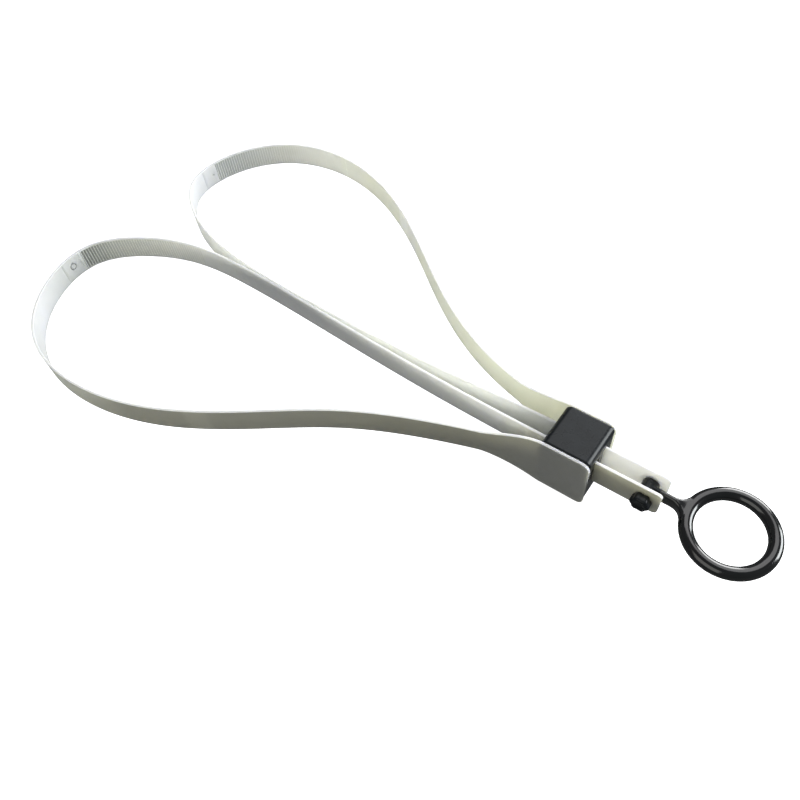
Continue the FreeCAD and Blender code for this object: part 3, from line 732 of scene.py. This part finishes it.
def build_stage():
    """A pale floor that glows white, lights nothing else and shows no shadow."""
    level = cad_low.z - FLOOR_DROP
    corners = [(x * FLOOR_HALF, y * FLOOR_HALF, level) for x, y in ((-1, -1), (1, -1), (1, 1), (-1, 1))]
    floor = mesh_object("floor", corners, [(0, 1, 2, 3)])
    material, nodes, links, shader = new_material("pale_floor")
    shader.inputs["Base Color"].default_value = (0.8, 0.8, 0.8, 1)
    shader.inputs["Roughness"].default_value = 0.9
    shader.inputs["Emission Color"].default_value = (1, 1, 1, 1)
    shader.inputs["Emission Strength"].default_value = 1.0
    paint(floor, material)
    floor.visible_diffuse = False
    floor.visible_glossy = False
    floor.visible_transmission = False
    floor.visible_shadow = False


def area_light(name, direction, distance, size, power, shine=1.0, tint=(1, 1, 1), target=(-0.1, 0, 0.01)):
    """A square lamp that stands off from its target in a direction and faces it."""
    light = bpy.data.lights.new(name, "AREA")
    light.shape = "SQUARE"
    light.size = size
    light.energy = power
    light.color = tint
    light.specular_factor = shine
    lamp = bpy.data.objects.new(name, light)
    away = Vector(direction).normalized()
    lamp.location = Vector(target) + away * distance
    lamp.rotation_mode = "QUATERNION"
    lamp.rotation_quaternion = away.to_track_quat("Z", "Y")
    bpy.context.scene.collection.objects.link(lamp)


def build_lights():
    world = bpy.data.worlds.new("studio")
    bpy.context.scene.world = world
    world.use_nodes = True
    background = world.node_tree.nodes["Background"]
    background.inputs["Color"].default_value = (0.93, 0.97, 0.97, 1)
    background.inputs["Strength"].default_value = 0.16
    area_light("key", (0.80, 0.50, 0.32), 1.0, 0.5, 8, shine=1.2, tint=(0.95, 0.99, 1.0))
    area_light("side", (0.20, 0.90, 0.36), 0.8, 0.5, 6.5, shine=0.8, target=(-0.08, 0.03, 0.01))
    area_light("fill", (0.0, -0.86, 0.5), 1.2, 1.0, 3.7, shine=0.0, tint=(1.0, 1.0, 0.93))
    area_light("top", (-0.1, 0.5, 0.8), 1.4, 1.2, 8, shine=0.9)


def build_camera():
    """The camera, placed where one fitted to the straps' edges in the reference stands."""
    data = bpy.data.cameras.new("camera")
    data.sensor_width = 36.0
    data.lens = 30.98
    data.clip_start = 0.01
    camera = bpy.data.objects.new("camera", data)
    forward = Vector((-0.41776, 0.44904, -0.78983))
    right = Vector((0.79787, 0.59716, -0.08250))
    up = right.cross(forward)
    axes = Matrix((right, up, -forward)).transposed().to_4x4()
    camera.matrix_world = Matrix.Translation((0.05018, -0.15141, 0.24976)) @ axes
    bpy.context.scene.collection.objects.link(camera)
    bpy.context.scene.camera = camera
    bpy.context.scene.view_settings.view_transform = "Standard"


# ---------------------------------------------------------------- the object

# Tones along each strap, as (metres of strap from the tab's front end, colour).  They were adjusted
# until renders came near the reference's pixel values at a number of points.  They carry some of its
# shade, so they are not the nylon's own colour alone.
# Painted shade and light: the near strap's outer leg with its tab, and its running end, are toned dark as
# painted shade; the lighter stretches, such as the far strap's cream running end, are painted light that
# stands for light coming through the nylon from behind.
nylons_painted_shade_and_light = {
    NEAR: nylon_material("near_nylon", [(0.0, (0.365, 0.365, 0.35)), (0.06, (0.27, 0.27, 0.26)),
                                        (0.164, (0.325, 0.325, 0.315)), (0.165, (0.375, 0.375, 0.36)),
                                        (0.174, (0.375, 0.375, 0.36)), (0.175, (0.33, 0.33, 0.32)),
                                        (0.20, (0.335, 0.335, 0.325)), (0.30, (0.86, 0.88, 0.85)),
                                        (0.325, (0.70, 0.72, 0.67)), (0.40, (0.94, 0.96, 0.87)),
                                        (0.60, (0.99, 1.0, 0.90)), (0.64, (0.385, 0.38, 0.345))]),
    FAR: nylon_material("far_nylon", [(0.0, (0.58, 0.59, 0.51)), (0.08, (0.70, 0.71, 0.62)),
                                      (0.154, (0.76, 0.77, 0.69)), (0.155, (0.75, 0.75, 0.72)),
                                      (0.167, (0.75, 0.75, 0.72)), (0.168, (0.81, 0.82, 0.78)),
                                      (0.179, (0.81, 0.82, 0.78)), (0.180, (0.74, 0.75, 0.67)),
                                      (0.22, (0.74, 0.75, 0.67)), (0.30, (0.86, 0.88, 0.84)),
                                      (0.60, (0.82, 0.84, 0.80)), (0.64, (0.98, 0.99, 0.87))]),
}
# The strap's upper edge keeps a pale tone all along, a lit copy of the nylon: a painted highlight.
edges = {
    NEAR: nylon_material("near_nylon_edge_painted_highlight", [(0.0, (0.94, 0.95, 0.93)), (0.6, (0.96, 0.96, 0.94))]),
    FAR: nylon_material("far_nylon_edge_painted_highlight", [(0.0, (0.96, 0.96, 0.94)), (0.6, (0.96, 0.96, 0.94))]),
}
# The grooves are toned darker than the strap around them: painted shade in the recesses.
grooves = {
    NEAR: nylon_material("near_nylon_groove_painted_shade", [(0.0, (0.34, 0.35, 0.33)), (0.345, (0.34, 0.35, 0.33)),
                                               (0.36, (0.56, 0.58, 0.54)), (0.42, (0.90, 0.91, 0.82))]),
    FAR: nylon_material("far_nylon_groove_painted_shade", [(0.0, (0.80, 0.81, 0.72)), (0.27, (0.80, 0.81, 0.74)),
                                             (0.30, (0.66, 0.68, 0.63)), (0.328, (0.50, 0.52, 0.50)),
                                             (0.40, (0.50, 0.52, 0.50)), (0.44, (0.82, 0.84, 0.80))]),
}
cuts = {
    NEAR: cut_material("near_nylon_cut", (0.30, 0.30, 0.26)),
    FAR: cut_material("far_nylon_cut", (0.54, 0.56, 0.51)),
}
glossy_black = black_material("black_ring", (0.003, 0.0035, 0.004), (0.006, 0.007, 0.008), (0.10, 0.18), 0.85)
block_black = black_material("black_block", (0.007, 0.009, 0.011), (0.012, 0.015, 0.018), (0.22, 0.34), 0.25)
pawl_plastic = pawl_material()
steel = steel_material()

build_straps()
build_ring()
for piece in build_pin_head():
    paint(piece, block_black)

for node, finish in (("lock_housing", block_black), ("base_cover", block_black), ("cross_pin", block_black),
                     ("pin_cap", block_black), ("pull_ring", glossy_black), ("near_pawl", pawl_plastic),
                     ("far_pawl", pawl_plastic), ("near_pawl_axle", steel), ("far_pawl_axle", steel),
                     ("near_pawl_spring", steel), ("far_pawl_spring", steel)):
    paint(frame["nodes"][node], finish)

build_stage()
build_lights()
build_camera()
